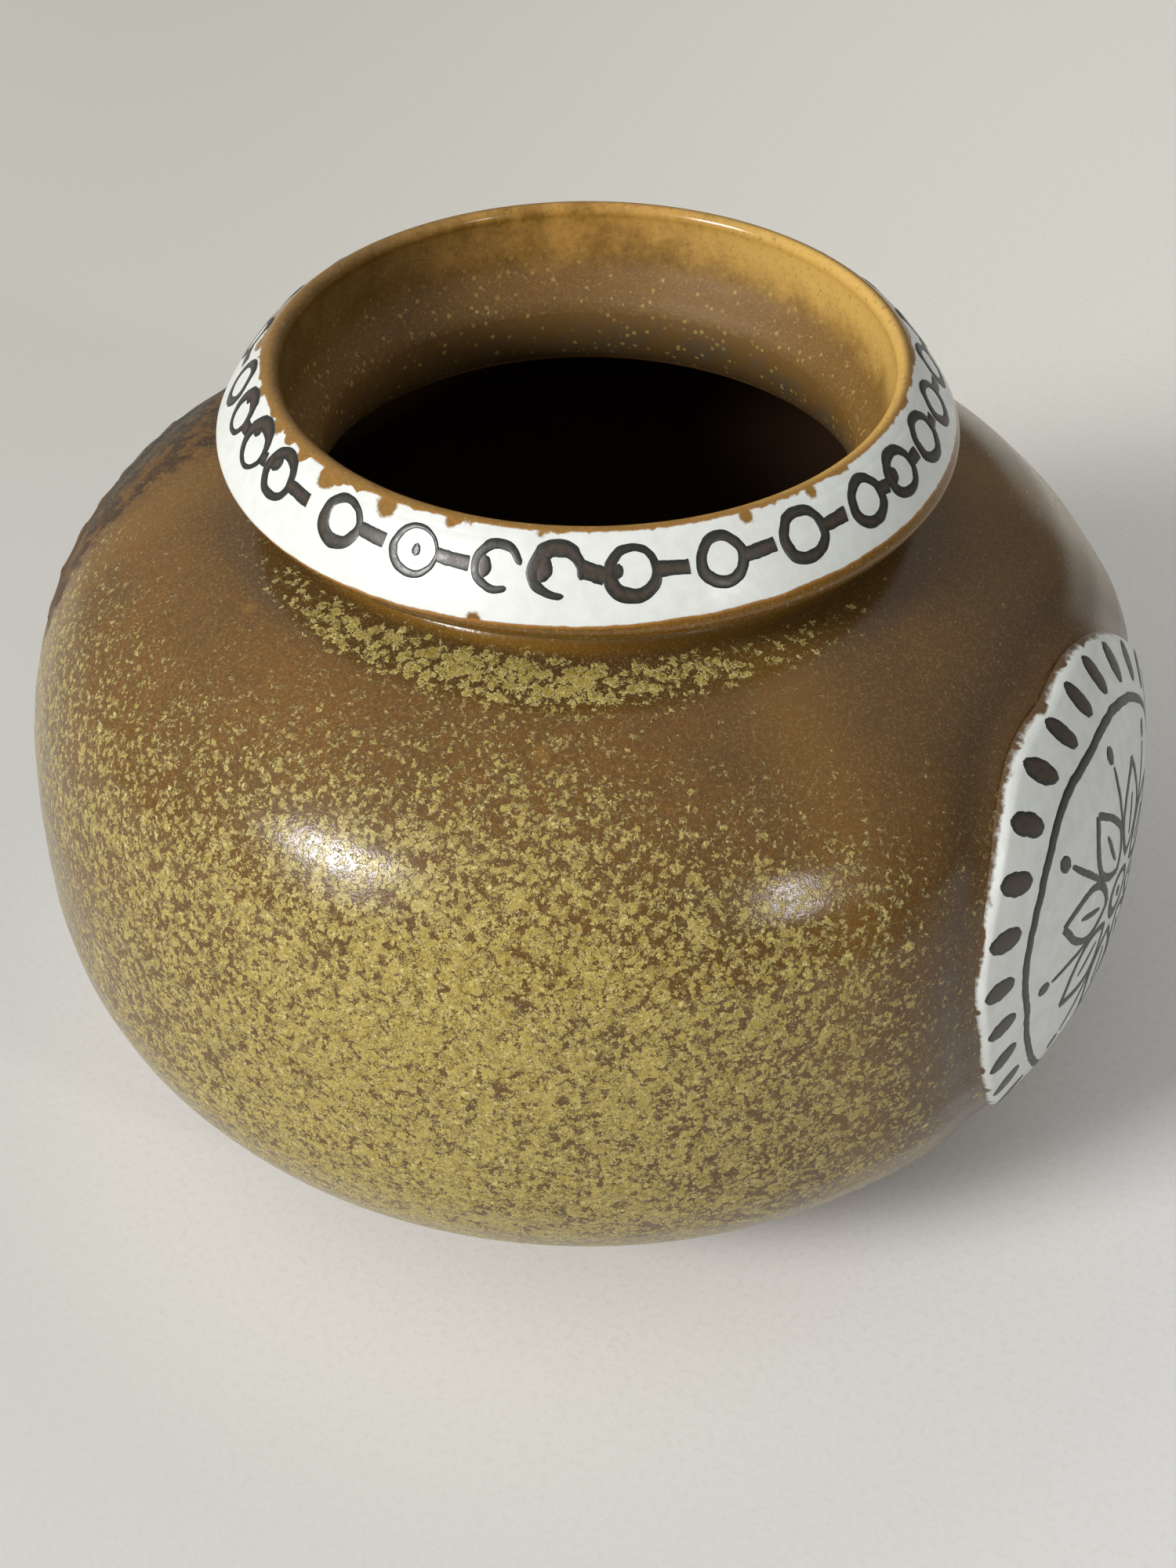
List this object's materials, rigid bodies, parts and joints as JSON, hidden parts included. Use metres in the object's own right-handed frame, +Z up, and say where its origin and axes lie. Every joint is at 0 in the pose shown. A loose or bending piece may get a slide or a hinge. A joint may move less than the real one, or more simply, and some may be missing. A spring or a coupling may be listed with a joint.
{
  "type": "ceramic vase",
  "caption": "Squat round ceramic vase with a flared collar over a narrow neck, a white band and round side medallions, on a low foot ring.",
  "frame": {"origin": "centre of the foot's underside, on the surface the vase stands on", "axes": "+Z up along the vase's axis; +X and -X through the centres of the two medallions"},
  "size_m": [0.1512, 0.15, 0.1114],
  "materials": {
    "brown_glaze": "satin brown glaze full of small ochre-green crystals",
    "ochre_glaze": "satin ochre glaze, thin and golden over the lip",
    "white_glaze": "satin white glaze with dark painted ornament",
    "bare_clay": "unglazed fired clay"
  },
  "bodies": {
    "root": {"body": "brown_glaze", "collar": "ochre_glaze", "white_band": "white_glaze", "medallion_right": "white_glaze", "medallion_left": "white_glaze", "foot_ring": "bare_clay"}
  },
  "joints": []
}
